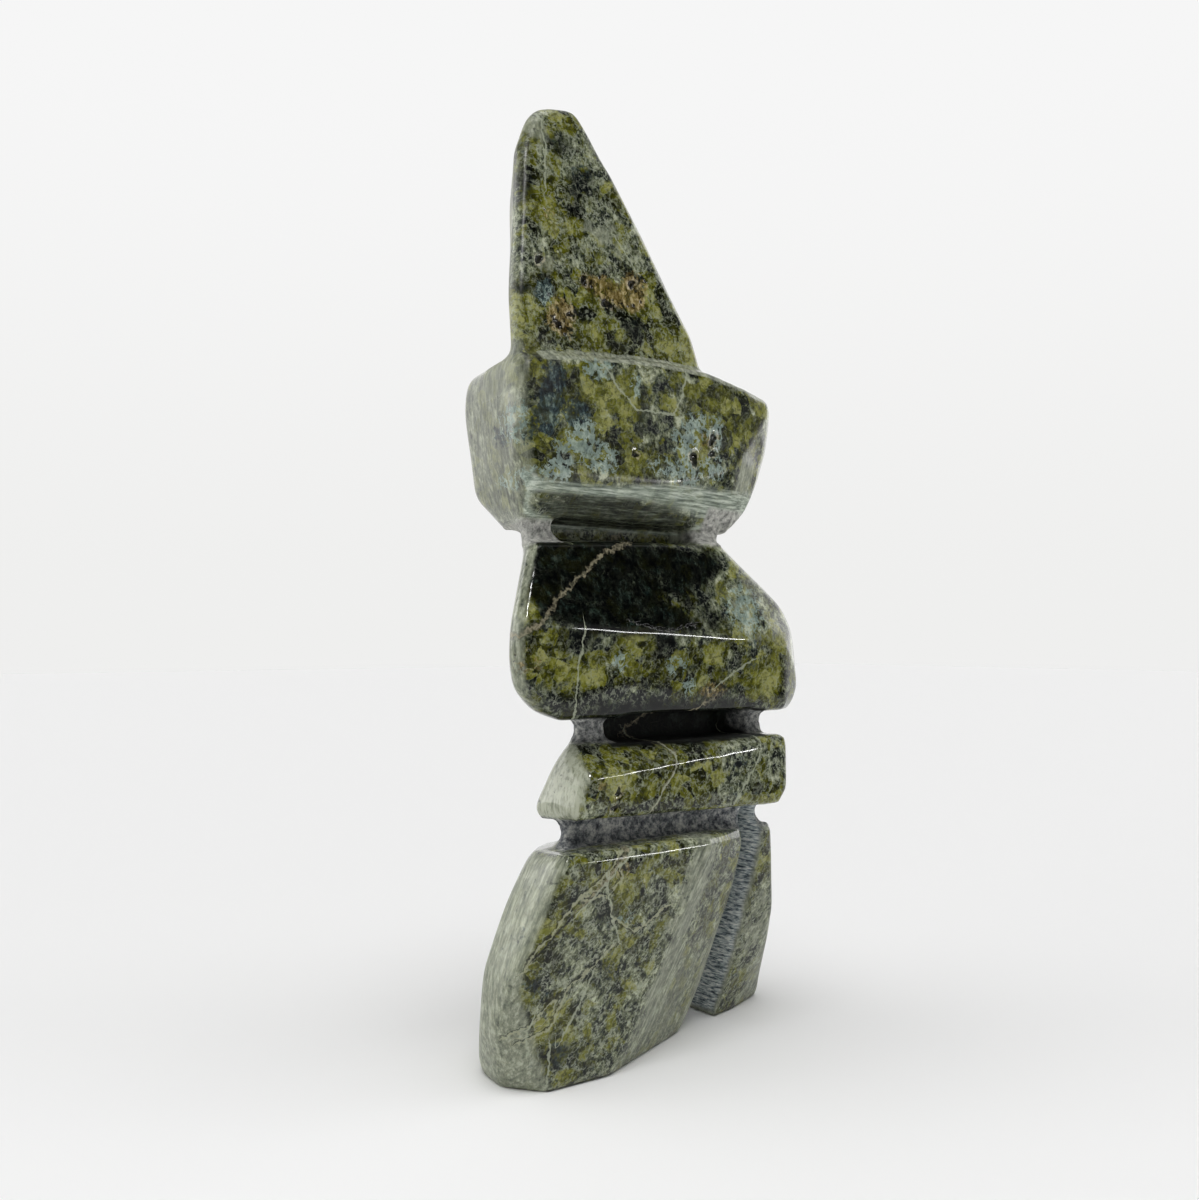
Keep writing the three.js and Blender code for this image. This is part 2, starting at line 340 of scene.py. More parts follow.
# %% Copy the solid and wrap it in fine quads
WELD = 0.01 * MM
SKIN_VOXEL = 0.9 * MM
RUB_FACTOR = 0.5
RUB_ROUNDS = 6


def modify(name, kind, **settings):
    """Add a modifier to the stone, set it up and apply it."""
    modifier = stone.modifiers.new(name, kind)
    for setting, value in settings.items():
        setattr(modifier, setting, value)
    bpy.ops.object.modifier_apply(modifier=modifier.name)


stone_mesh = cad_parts["inukshuk"].data.copy()
stone_mesh.materials.clear()
stone = bpy.data.objects.new("carved_stone", stone_mesh)
bpy.context.scene.collection.objects.link(stone)
bpy.context.view_layer.objects.active = stone
stone.select_set(True)
bpy.ops.object.mode_set(mode="EDIT")
bpy.ops.mesh.select_all(action="SELECT")
bpy.ops.mesh.remove_doubles(threshold=WELD)
bpy.ops.object.mode_set(mode="OBJECT")
modify("fine_skin", "REMESH", mode="VOXEL", voxel_size=SKIN_VOXEL)
modify("rubbed_edges", "SMOOTH", factor=RUB_FACTOR, iterations=RUB_ROUNDS)
bpy.ops.object.shade_smooth()
print("skin:", len(stone.data.polygons), "quads")

# %% Read the skin's points and normals
LEAST_WEIGHT = 0.01


def points_now():
    """All the points of the stone's skin, in millimetres."""
    flat = np.empty(len(stone.data.vertices) * 3, np.float32)
    stone.data.vertices.foreach_get("co", flat)
    return flat.reshape(-1, 3) / MM


def move_points(points):
    """Move the skin's points to new places, given in millimetres."""
    stone.data.vertices.foreach_set("co", (points * MM).astype(np.float32).ravel())
    stone.data.update()


def normals_now():
    """The skin's normals at all its points."""
    flat = np.empty(len(stone.data.vertices) * 3, np.float32)
    stone.data.vertex_normals.foreach_get("vector", flat)
    return flat.reshape(-1, 3)


def smooth_step(value, start, end):
    """From 0 at start to 1 at end, with no corners."""
    share = np.clip((value - start) / (end - start), 0.0, 1.0)
    return share * share * (3.0 - 2.0 * share)


def keep(name, numbers):
    """Keep a number for each point as an attribute, which the material reads."""
    attribute = stone.data.attributes.new(name, "FLOAT", "POINT")
    attribute.data.foreach_set("value", numbers.astype(np.float32))


def gather(name, weights):
    """Keep a weight for each point as a vertex group, which a modifier reads."""
    group = stone.vertex_groups.new(name=name)
    for index in np.flatnonzero(weights > LEAST_WEIGHT):
        group.add([int(index)], float(weights[index]), "REPLACE")


points = points_now()
print("skin from", points.min(0).round(1), "to", points.max(0).round(1), "mm")

# %% Round the sides and the crown further
SOFT_ROUNDS = 50
SIDE_START, SIDE_FULL = 0.15, 0.45
CROWN_START, CROWN_FULL = 232.0, 241.0
HEAD_START, HEAD_FULL, HEAD_SHARE = 183.0, 188.0, 0.15
SHOULDER_FOOT, FOOT_NEAR, FOOT_FAR, FOOT_SHARE = 147.0, 3.0, 7.0, 0.6
SOLE_START, SOLE_FULL = 0.5, 3.0

facing = normals_now()
height = points[:, 2]
head_share = 1.0 - smooth_step(height, HEAD_START, HEAD_FULL) * (1.0 - HEAD_SHARE)
sideways = smooth_step(np.abs(facing[:, 0]), SIDE_START, SIDE_FULL) * head_share
crown = smooth_step(height, CROWN_START, CROWN_FULL)
from_foot = np.abs(height - SHOULDER_FOOT)
shoulder_foot = (1.0 - smooth_step(from_foot, FOOT_NEAR, FOOT_FAR)) * FOOT_SHARE
soft = np.maximum(np.maximum(sideways, crown), shoulder_foot)
gather("soft_sides", soft)
settings = {"factor": RUB_FACTOR, "iterations": SOFT_ROUNDS, "vertex_group": "soft_sides"}
modify("rubbed_sides", "SMOOTH", **settings)
softened = points_now()
flat_sole = 1.0 - smooth_step(height, SOLE_START, SOLE_FULL)
softened[:, 2] += (height - softened[:, 2]) * flat_sole
move_points(softened)
points = points_now()
print("after softening, top at", round(float(points[:, 2].max()), 1), "mm")


# %% [markdown]
# ## Where the stone is rough
#
# The polisher can't reach into the necks and the saw cut, so they keep the marks of the tool.
# Each rough place is a box, and the cut is a curved slot. Every point of the skin gets a number
# from 0, polished, to 1, rough. It is kept as an attribute for the material, and as a vertex
# group for the Displace modifier.

# %% Mark the rough places
ROUGH_BOXES = {
    "hip neck": ((-36.0, -19.0, 57.0), (46.0, 8.0, 63.9)),
    "left belly post": ((-30.5, -17.0, 83.4), (-18.7, 8.0, 89.8)),
    "right belly post": ((30.8, -17.0, 83.4), (40.5, 8.0, 89.8)),
    "left throat post": ((-48.0, -17.5, 134.0), (-35.7, 8.0, 139.6)),
    "right throat post": ((11.8, -17.5, 136.0), (24.0, 8.0, 139.6)),
    "right throat pad": ((15.0, -18.0, 136.0), (31.0, 8.0, 146.0)),
}
ROUGH_BORDER = 0.8
PALE_THROAT = (120.0, 125.0)
PALE_BELLY, PALE_BELLY_SHARE = (76.0, 82.0), 0.3

CUT_BOTTOM, CUT_BEND, CUT_TOP = (23.0, -6.7), (29.7, 28.5), (29.2, 55.8)
CUT_HALF = 3.2
CUT_BORDER = 0.1
CUT_ROOF = 63.5


def in_box(points, low, high, border):
    """1 inside a box, fading to 0 over a border outside it."""
    outside = np.maximum(np.asarray(low) - points, points - np.asarray(high)).max(1)
    return 1.0 - smooth_step(outside, 0.0, border)


def cut_middle(height):
    """Where the middle of the saw cut is at a height, along its curve."""
    share = np.clip((height - CUT_BOTTOM[1]) / (CUT_TOP[1] - CUT_BOTTOM[1]), 0.0, 1.0)
    rest = 1.0 - share
    return rest**2 * CUT_BOTTOM[0] + 2 * rest * share * CUT_BEND[0] + share**2 * CUT_TOP[0]


def in_cut(points):
    """1 on the walls of the saw cut."""
    aside = np.abs(points[:, 0] - cut_middle(points[:, 2])) - CUT_HALF
    return (1.0 - smooth_step(aside, CUT_BORDER, ROUGH_BORDER)) * (points[:, 2] < CUT_ROOF)


cut_walls = in_cut(points)
rough = cut_walls.copy()
for low, high in ROUGH_BOXES.values():
    rough = np.maximum(rough, in_box(points, low, high, ROUGH_BORDER))
keep("rough", rough)
keep("cut_walls", cut_walls)
belly_pads = smooth_step(points[:, 2], *PALE_BELLY) * PALE_BELLY_SHARE
keep("pale_pads", np.maximum(smooth_step(points[:, 2], *PALE_THROAT), belly_pads))
gather("rough_skin", rough)
print("rough points:", int((rough > 0.5).sum()), "of", len(rough))


# %% [markdown]
# ## Wavy faces and tool marks
#
# Hand polishing leaves each face slightly wavy, and the reflections show it. A Displace
# modifier with a soft cloud texture does this over the whole stone, but not at the soles, which
# stay flat on the table. A second one, with a sharper texture, roughens only the necks and the
# cut. The few large pits are pressed in point by point.

# %% Displace the faces and the necks
WAVE_SIZE = 22 * MM
WAVE_HEIGHT = 0.7 * MM
WAVE_START, WAVE_FULL = 1.0, 7.0
CHIP_SIZE = 1.6 * MM
CHIP_HEIGHT = 0.55 * MM

above_soles = smooth_step(points[:, 2], WAVE_START, WAVE_FULL)
gather("above_soles", above_soles * (1.0 - rough))


def displace(name, size, height, group, noise_depth):
    """Push the points of a group along their normals by a cloud texture."""
    clouds = bpy.data.textures.new(name, "CLOUDS")
    clouds.noise_scale = size
    clouds.noise_depth = noise_depth
    settings = {"texture": clouds, "texture_coords": "LOCAL", "strength": height}
    modify(name, "DISPLACE", mid_level=0.5, vertex_group=group, **settings)


displace("hand_waves", WAVE_SIZE, WAVE_HEIGHT, "above_soles", noise_depth=1)
displace("tool_chips", CHIP_SIZE, CHIP_HEIGHT, "rough_skin", noise_depth=2)
moved = points_now() - points
print("largest move:", round(float(np.abs(moved).max()), 2), "mm")

# %% Press in the large pits
PITS = (
    (-12, 205, 1.4), (-21, 198, 1.7), (6, 159, 1.9), (13, 165, 1.7), (13, 161, 1.2),
    (-37, 190, 1.4), (-23, 71, 1.2), (-24, 67, 1.1), (-15, 158, 1.1), (-28, 203, 1.3),
    (-42, 206, 1.4), (-33, 193, 1.2),
)
PIT_LOBES = ((0.28, 2.0, 1.9), (0.2, 3.0, 2.6))
PIT_FLOOR, PIT_EDGE = 0.3, 1.3
PIT_FACING = -0.3
PIT_DEPTH = 0.7

points = points_now()
facing = normals_now()
pit = np.zeros(len(points))
for number, (x, z, radius) in enumerate(PITS):
    across, up = points[:, 0] - x, points[:, 2] - z
    angle = np.arctan2(up, across)
    lobes = 1.0
    for reach, waves, turn in PIT_LOBES:
        lobes = lobes + reach * np.sin(waves * angle + turn * number)
    away = np.hypot(across, up) / (radius * lobes)
    hole = 1.0 - smooth_step(away, PIT_FLOOR, PIT_EDGE)
    pit = np.maximum(pit, hole * (facing[:, 1] < PIT_FACING))
move_points(points - facing * (pit * PIT_DEPTH)[:, None])
keep("pit", pit)
print("pits:", len(PITS))


# %% [markdown]
# ## Where each colour lies
#
# Serpentine is never even, and to match its photo the figure needs its olive patches, blue-black
# clouds, rusty spots and pale webs in the same places. They are painted on the skin's points as
# soft round spots, as with a wide brush. Each spot is a place seen from the front (across and
# up), its half width and half height, and its strength. The material later breaks up their
# borders with noise, and where no spot lies, as on the back, noise alone decides.

# %% Choose the spots
OLIVE_SPOTS = (
    (-47, 190, 6, 10, 1.0), (-31, 187, 10, 5, 0.8), (-4, 189, 12, 6, 0.8), (8, 190, 4, 9, 1.2),
    (-5, 204, 4, 6, 0.9), (-30, 246, 5, 4, 1.0), (-46, 232, 3, 8, 0.7), (-39, 221, 4, 8, 0.9),
    (-30, 217, 4, 4, 1.1), (-47, 176, 4, 6, 0.9), (-34, 172, 5, 5, 0.9), (-22, 173, 8, 4, 1.0),
    (-44, 158, 5, 6, 1.2), (-20, 158, 6, 4, 0.9), (16, 174, 12, 6, 1.1), (27, 167, 6, 8, 0.8),
    (-13, 153, 6, 3, 0.7), (-34, 150, 6, 3, 0.7), (-9, 120, 4, 5, 0.9), (-1, 119, 4, 4, 0.8),
    (-50, 119, 3, 5, 0.5), (-33, 132, 7, 4, 0.4), (-18, 110, 7, 5, 1.3), (-11, 103, 7, 5, 1.1),
    (0, 98, 3, 3, 1.0), (-46, 106, 8, 6, 1.0), (-34, 99, 7, 4, 1.1), (8, 105, 6, 4, 0.8),
    (31, 98, 8, 6, 1.2), (34, 108, 5, 5, 0.8), (-25, 76, 9, 7, 1.0), (-9, 79, 9, 4, 0.7),
    (0, 71, 10, 5, 0.9), (31, 66, 7, 4, 0.9), (8, 78, 6, 3, 0.8), (-43, 48, 4, 7, 1.1),
    (-48, 38, 5, 6, 1.0), (-30, 52, 6, 4, 0.9), (-23, 46, 5, 8, 1.1), (-5, 51, 6, 5, 0.9),
    (-54, 28, 4, 8, 1.0), (-49, 14, 5, 7, 0.8), (-41, 16, 5, 5, 0.9), (34, 46, 4, 7, 1.2),
    (-22, 194, 28, 11, 0.7), (-2, 73, 36, 10, 0.35), (-40, 224, 8, 22, 0.3),
    (-20, 165, 30, 14, 0.2), (-20, 224, 12, 16, 0.3), (-10, 102, 40, 12, 0.2),
)
GREY_SPOTS = (
    (-28, 236, 12, 9, 0.4), (-20, 219, 9, 8, 0.4), (-47, 204, 5, 6, 0.5), (-10, 212, 5, 5, 0.3),
    (-8, 168, 9, 6, 0.6), (-37, 109, 6, 3, 0.9), (-23, 94, 13, 3, 1.0), (-8, 108, 4, 3, 1.0),
    (19, 78, 8, 4, 1.0), (17, 69, 5, 4, 1.0), (34, 75, 4, 4, 0.8), (-28, 42, 6, 5, 0.9),
    (-35, 30, 6, 6, 0.7), (-12, 44, 4, 5, 0.7), (4, 50, 6, 8, 1.0), (-1, 40, 6, 9, 1.0),
    (-5, 27, 7, 9, 1.0), (-12, 13, 9, 9, 0.8), (40, 25, 8, 14, 0.5),
)
NAVY_SPOTS = (
    (-41, 174, 4, 6, 1.3), (-43, 166, 4, 6, 1.4), (-34, 167, 5, 5, 1.2), (-48, 161, 2, 4, 0.9),
    (-41, 197, 3, 5, 1.0), (23, 106, 3, 5, 0.8), (-42, 9, 4, 4, 0.6), (-28, 26, 4, 5, 0.6),
    (-48, 27, 4, 4, 0.6), (19, 77, 6, 3, 0.6), (17, 69, 4, 3, 0.7), (-26, 231, 6, 5, 0.6),
)
RUST_SPOTS = (
    (-23, 202, 8, 4, 1.0), (-11, 204, 6, 5, 1.1), (-36, 192, 6, 6, 1.0), (-14, 199, 7, 3, 0.8),
    (10, 96, 6, 3, 0.9), (-38, 218, 3, 4, 0.5), (-28, 73, 2, 2, 0.8), (-24, 52, 3, 3, 0.7),
    (10, 164, 3, 3, 0.7), (-51, 104, 5, 4, 0.5),
)
WEB_SPOTS = (
    (-31, 162, 5, 4, 1.0), (-36, 158, 5, 4, 1.0), (-26, 156, 6, 4, 1.0), (-39, 152, 4, 4, 1.0),
    (-46, 150, 3, 3, 0.9), (-27, 179, 6, 3, 1.0), (-15, 176, 2, 4, 0.8), (2, 163, 5, 5, 1.0),
    (7, 168, 6, 4, 0.8), (14, 167, 3, 6, 0.8), (3, 154, 6, 4, 1.0), (13, 157, 5, 4, 1.0),
    (-50, 163, 2, 6, 0.8), (-6, 156, 5, 3, 0.7), (22, 118, 8, 8, 0.8), (-4, 103, 4, 3, 0.8),
    (-23, 104, 3, 3, 0.7), (1, 97, 3, 3, 0.7), (-24, 40, 5, 3, 0.6), (-41, 197, 3, 4, 0.5),
)
# The pale spots on the near leg's right part and on the far leg are painted sheen, for the light
# those faces mirror; the others are pale stone.
PALE_AND_SHEEN_SPOTS = (
    (5, 52, 5, 8, 1.0), (1, 42, 5, 9, 1.0), (-4, 30, 6, 9, 0.9), (-9, 16, 8, 9, 0.7),
    (-40, 244, 4, 7, 0.8), (-22, 219, 6, 4, 0.6), (-20, 212, 7, 5, 0.4), (-40, 206, 6, 3, 0.5),
    (22, 118, 8, 8, 0.5), (40, 25, 8, 16, 0.7), (28, 153, 4, 13, 1.0), (24, 146, 6, 5, 1.0),
)
# Most black spots are blue-black stone. The one in the belly hollow, at 86 mm, is painted shadow,
# and the two at 91 mm are a painted dark reflection where the torso rounds under.
BLACK_AND_SHADE_SPOTS = (
    (-30, 127, 20, 11, 1.3), (-12, 130, 15, 9, 1.2), (-44, 127, 9, 11, 1.1), (-24, 117, 20, 5, 1.2),
    (-2, 127, 8, 7, 0.9), (9, 131, 10, 6, 1.0), (-26, 91, 24, 4, 0.65), (6, 91, 28, 4, 0.65),
    (-36, 109, 6, 3, 0.6), (-8, 108, 5, 3, 0.7), (-12, 193, 5, 4, 0.8), (-19, 188, 4, 3, 0.7),
    (-45, 225, 4, 6, 0.7), (-26, 230, 6, 5, 0.7), (-30, 222, 4, 4, 0.6),
    (-33, 239, 5, 4, 0.6), (-48, 199, 3, 4, 0.7), (-40, 47, 3, 3, 0.7), (-27, 41, 4, 3, 0.6),
    (-11, 43, 4, 3, 0.5), (-28, 26, 5, 4, 0.5), (-42, 9, 6, 4, 0.6), (-12, 168, 3, 4, 0.5),
    (-53, 160, 3, 18, 0.3), (0, 86, 30, 5, 1.2), (-10, 114, 26, 5, 0.9),
    (-38, 115, 12, 5, 0.5), (8, 122, 8, 6, 0.5),
)
# Deep spots darken the stone's tone. Those low on the torso, at 92 to 95 mm, are a painted dark
# reflection where the torso rounds under.
DEEP_AND_SHADE_SPOTS = (
    (-12, 100, 44, 12, 0.4), (-12, 92, 44, 6, 0.9), (-22, 122, 40, 16, 0.3), (-12, 103, 6, 4, 0.9),
    (-26, 107, 6, 4, 0.8), (-8, 109, 5, 3, 0.9), (-37, 109, 6, 3, 0.7), (-22, 94, 14, 4, 0.6),
    (16, 104, 5, 5, 0.5), (-2, 95, 10, 3, 0.7), (-12, 192, 5, 5, 1.0), (-20, 187, 4, 3, 0.9),
    (-45, 225, 4, 5, 0.8), (-26, 230, 6, 5, 0.8), (-30, 222, 5, 4, 0.6), (-33, 238, 5, 5, 0.6),
    (-22, 197, 6, 3, 0.5), (-2, 193, 3, 5, 0.6), (-30, 196, 4, 3, 0.5), (-18, 226, 5, 9, 0.5),
    (-44, 158, 4, 5, 0.9), (-40, 175, 4, 4, 0.7), (-33, 167, 4, 4, 0.6), (-20, 160, 5, 5, 0.7),
    (-12, 168, 3, 4, 0.7), (-7, 156, 6, 5, 0.6), (6, 171, 3, 4, 0.5), (20, 160, 5, 5, 0.4),
    (-40, 47, 4, 3, 0.8), (-27, 42, 5, 4, 0.5), (-11, 44, 4, 4, 0.5), (-28, 26, 5, 4, 0.5),
    (-42, 9, 8, 4, 0.7), (-37, 4, 8, 3, 0.6), (0, 77, 34, 5, 0.4), (-6, 66, 20, 3, 0.5),
    (-22, 193, 28, 10, 0.2),
)
BRIGHT_SPOTS = (
    (-18, 110, 6, 4, 1.1), (-38, 101, 9, 4, 0.9), (33, 103, 7, 8, 0.6), (-48, 107, 5, 5, 0.5),
    (8, 105, 5, 3, 0.4), (0, 98, 4, 3, 0.5), (-47, 190, 4, 8, 0.7), (8, 190, 3, 7, 0.8),
    (-30, 217, 3, 3, 0.7), (-5, 204, 4, 5, 0.5), (-35, 183, 8, 3, 0.5), (-25, 173, 6, 4, 0.7),
    (15, 175, 9, 3, 0.6), (27, 167, 4, 6, 0.4), (-34, 151, 7, 3, 0.4), (-43, 50, 3, 4, 0.4),
    (-24, 47, 5, 4, 0.6), (-46, 38, 3, 5, 0.5), (-27, 75, 5, 4, 0.5), (-8, 213, 5, 6, 0.3),
    (-33, 247, 6, 3, 0.5), (-28, 228, 24, 30, 0.3), (0, 73, 40, 10, 0.2),
    (-14, 162, 38, 16, 0.15), (-8, 103, 42, 10, 0.2), (22, 119, 9, 9, 1.0), (-46, 10, 12, 10, 0.25),
)
print("olive spots:", len(OLIVE_SPOTS), "and", len(BLACK_AND_SHADE_SPOTS), "black ones")

# %% Paint the spots on the skin
SPOT_FRONT = -24.0
SPOT_DEPTH = 26.0
SPOT_FULL, SPOT_END = 0.4, 1.4
SPOT_LIMIT = 1.2
SHOULDER_EDGE_SHEEN = ((-44.0, -30.0, 170.0), (40.0, -12.0, 186.0))
EDGE_BORDER, EDGE_RISE = 1.0, (0.3, 0.5, 0.85, 0.97)


def paint(spots):
    """How strongly a set of spots covers each point."""
    cover = np.zeros(len(points))
    depth = (points[:, 1] - SPOT_FRONT) / SPOT_DEPTH
    for x, z, wide, tall, strength in spots:
        across, up = (points[:, 0] - x) / wide, (points[:, 2] - z) / tall
        away = np.sqrt(across**2 + depth**2 + up**2)
        cover += strength * (1.0 - smooth_step(away, SPOT_FULL, SPOT_END))
    return np.clip(cover, 0.0, SPOT_LIMIT)


def between(value, start, full, last, end):
    """1 from full to last, fading to 0 at start and at end."""
    return smooth_step(value, start, full) * (1.0 - smooth_step(value, last, end))


keep("olive", paint(OLIVE_SPOTS) - paint(GREY_SPOTS))
keep("navy", paint(NAVY_SPOTS))
keep("rust", paint(RUST_SPOTS))
keep("web", paint(WEB_SPOTS))
# Painted highlight: a pale band along the shoulder's rounded top edge stands in for the light that
# it mirrors.
shoulder_edge_sheen = in_box(points, *SHOULDER_EDGE_SHEEN, EDGE_BORDER)
shoulder_edge_sheen *= between(facing[:, 2], *EDGE_RISE)
keep("pale", np.maximum(paint(PALE_AND_SHEEN_SPOTS), shoulder_edge_sheen))
keep("deep", paint(DEEP_AND_SHADE_SPOTS) - paint(BRIGHT_SPOTS))
print("spots painted on", len(points), "points")

# %% [markdown]
# Other zones follow the form. The deep hollows between the stones are dull, and the belly hollow
# is painted black as a painted shadow. The side faces get a pale, streaky painted sheen, which adds
# to the bright room they mirror, and the shoulder and the torso have a calmer grain than the head
# and the legs. Each of these is marked by its height and by the way the skin faces there.

# %% Mark the hollows and the side faces
BELLY_HOLLOW = ((-19.5, -21.0, 83.0), (31.5, 9.0, 90.2))
THROAT_HOLLOW = ((-36.0, -12.0, 134.0), (12.0, 9.0, 138.5))
HOLLOW_BORDER = 2.0
THROAT_SHARE = 0.75
THROAT_CLEAR = 0.9
BELLY_PAINTED_SHADOW = 1.6
WAIST_SHEEN_BOX, WAIST_BORDER = ((-50.0, -30.0, 62.0), (-30.0, 10.0, 84.0)), 3.0
SIDE_FACING = (0.42, 0.7)
SIDE_CLEAR = 0.8
LEG_FOOT, LEG_FOOT_FACING = (20.0, 40.0), 0.17
HEAD_FROM, HEAD_CLEAR = (182.0, 187.0), 0.9
SHOULDER_FROM, SHOULDER_CLEAR = (138.0, 142.0), 0.4
CALM_SHOULDER = (140.0, 146.0, 180.0, 186.0)
CALM_TORSO, CALM_TORSO_SHARE = (86.0, 92.0, 136.0, 140.0), 0.6

height = points[:, 2]
belly = in_box(points, *BELLY_HOLLOW, HOLLOW_BORDER)
throat = THROAT_SHARE * in_box(points, *THROAT_HOLLOW, HOLLOW_BORDER) * (1.0 - rough)
keep("hollow", np.maximum(belly, throat))
foot = 1.0 - smooth_step(height, *LEG_FOOT)
# The side faces, found by the way the skin faces, get a pale painted sheen, less of it on the head
# and the shoulder.
side_face_sheen = smooth_step(np.abs(facing[:, 0]) + LEG_FOOT_FACING * foot, *SIDE_FACING)
side_face_sheen *= 1.0 - HEAD_CLEAR * smooth_step(height, *HEAD_FROM)
side_face_sheen *= 1.0 - SHOULDER_CLEAR * smooth_step(height, *SHOULDER_FROM)
keep("side_face_sheen", side_face_sheen)
# The belly hollow is painted black as a painted shadow, and the side faces keep their pale sheen
# free of black.
black = paint(BLACK_AND_SHADE_SPOTS) * (1.0 - SIDE_CLEAR * side_face_sheen) * (1.0 - THROAT_CLEAR * throat)
keep("black", np.maximum(black, BELLY_PAINTED_SHADOW * belly))
calm_torso = CALM_TORSO_SHARE * between(height, *CALM_TORSO)
keep("calm", between(height, *CALM_SHOULDER) + calm_torso)
# A box on the waist's left face, where an extra painted sheen is laid.
keep("waist_sheen", in_box(points, *WAIST_SHEEN_BOX, WAIST_BORDER))
print("points on side faces:", int((side_face_sheen > 0.5).sum()))

# %% Mark the shoulder's lower bevel, its underside and the dull edges
FRONT_FACING = (0.1, 0.3)
BEVEL_HEIGHT = (133.0, 136.0, 150.0, 153.0)
BEVEL_FACING = (0.12, 0.3, 0.5, 0.65)
DULL_FACING = (-0.05, 0.1)
HEAD_EDGE_HEIGHT, HEAD_EDGE_FACING, HEAD_EDGE_SHARE = (185.0, 190.0), (0.15, 0.4), 0.45
CORNER, CORNER_BORDER, CORNER_SHARE = ((-60.0, -40.0, 172.0), (-40.0, 0.0, 186.0)), 2.0, 0.6
UNDERSIDE_HEIGHT, UNDERSIDE_FACING = (137.0, 141.0), (0.4, 0.72)
LEFT_PART, LEFT_SHARE = (-47.0, -33.0), 0.45
RIGHT_PART, RIGHT_SHARE = (16.0, -2.0), 0.25


def at_least(share, value):
    """A mask that never falls below a share."""
    return share + (1.0 - share) * value


front_low = smooth_step(-facing[:, 1], *FRONT_FACING) * between(height, *BEVEL_HEIGHT)
# The bevel's mask, where a pale painted sheen is laid.
keep("bevel_sheen", front_low * between(-facing[:, 2], *BEVEL_FACING))
dull_edge = front_low * smooth_step(-facing[:, 2], *DULL_FACING)
head_edge = smooth_step(height, *HEAD_EDGE_HEIGHT) * smooth_step(-facing[:, 0], *HEAD_EDGE_FACING)
corner = in_box(points, *CORNER, CORNER_BORDER)
other_edges = np.maximum(HEAD_EDGE_SHARE * head_edge, CORNER_SHARE * corner)
keep("dull_edge", np.maximum(dull_edge, other_edges))
underside = smooth_step(height, *UNDERSIDE_HEIGHT)
underside *= smooth_step(-facing[:, 2], *UNDERSIDE_FACING)
underside *= at_least(LEFT_SHARE, smooth_step(points[:, 0], *LEFT_PART))
underside *= at_least(RIGHT_SHARE, smooth_step(points[:, 0], *RIGHT_PART))
keep("underside", underside)
print("zones kept:", len(stone.data.attributes), "attributes")

# %% [markdown]
# ## Veins
#
# A vein is a thin sheet in the block, and where it meets the surface it shows as a line. Each
# one is given by the points where it bends, seen from the front. Veins are wide and beige,
# seams are pale with a dark border, threads are thin and pale, and cracks are black. A line
# thinner than the mesh can't be painted on points, but its distance can: every point keeps how
# far it lies to one side of the nearest line, with a sign. The material draws the line where
# that number passes through zero, which is sharp however coarse the points are.

# %% Measure each point's distance to the lines
VEINS = (
    ((-20, 58), (-26, 53), (-33, 47), (-37, 44)),
    ((-57, 109), (-47, 114), (-44, 118), (-34, 125), (-24, 132), (-15, 135), (-8, 138), (-7, 147)),
    ((-6, 84), (-3, 79), (-5, 74), (-10, 68), (-14, 62)),
    ((13, 95), (7, 92), (1, 89), (-8, 84)),
)
SEAMS = (
    ((-21, 58), (-31, 50), (-36, 47), (-43, 41), (-48, 36), (-52, 31)),
    ((-26, 33), (-34, 28), (-44, 22), (-49, 18), (-54, 14)),
    ((-25, 57), (-24, 50), (-28, 46), (-37, 46)),
    ((-28, 46), (-26, 40), (-19, 36), (-8, 41)),
    ((-40, 24), (-44, 16), (-51, 13)),
)
THREADS = (
    ((-26, 181), (-22, 176), (-15, 170), (-2, 170), (1, 175), (3, 182)),
    ((-35, 113), (-36, 101), (-35, 90)),
    ((24, 104), (17, 101), (11, 97)),
    ((28, 83), (27, 77), (23, 72), (18, 65)),
    ((-35, 73), (-32, 64)),
    ((-29, 51), (-27, 42), (-24, 34)),
    ((-48, 21), (-50, 16), (-49, 10)),
    ((-44, 12), (-44, 2)),
    ((-39, 247), (-38, 237), (-39, 226)),
    ((-17, 217), (-11, 210)),
    ((-32, 27), (-37, 18), (-41, 12)),
    ((-6, 84), (-3, 79), (-5, 74), (-10, 68), (-14, 62)),
    ((-20, 57), (-26, 52), (-33, 46), (-38, 42)),
)
CRACKS = (
    ((-38, 43), (-42, 40), (-49, 34)),
    ((-18, 114), (-8, 112), (2, 114)),
)
LINE_BACK = 4.0
LINE_REACH = 4.0
LINE_NEAR, LINE_FAR = 2.4, 3.4
FRONT_ONLY, FRONT_LINES = ("seam", "crack"), (0.2, 0.5)


def measure_lines(lines):
    """The signed distance to the nearest line, and 1 where that line is near."""
    flat = points[:, [0, 2]]
    nearest = np.full(len(points), LINE_REACH)
    side = np.full(len(points), LINE_REACH)
    for line in lines:
        for start, end in zip(line[:-1], line[1:]):
            run = np.subtract(end, start).astype(float)
            offset = flat - np.asarray(start, float)
            share = np.clip(offset @ run / (run @ run), 0.0, 1.0)
            gap = offset - share[:, None] * run
            away = np.hypot(gap[:, 0], gap[:, 1])
            turn = np.sign(run[0] * offset[:, 1] - run[1] * offset[:, 0])
            closer = away < nearest
            nearest[closer] = away[closer]
            side[closer] = (away * turn)[closer]
    near = (1.0 - smooth_step(nearest, LINE_NEAR, LINE_FAR)) * (points[:, 1] < LINE_BACK)
    return np.clip(side, -LINE_REACH, LINE_REACH), near


for name, lines in (("vein", VEINS), ("seam", SEAMS), ("thread", THREADS), ("crack", CRACKS)):
    side, near = measure_lines(lines)
    if name in FRONT_ONLY:
        near *= smooth_step(-facing[:, 1], *FRONT_LINES)
    keep(name + "_side", side)
    keep(name + "_near", near)
    print(name, "lines:", len(lines))


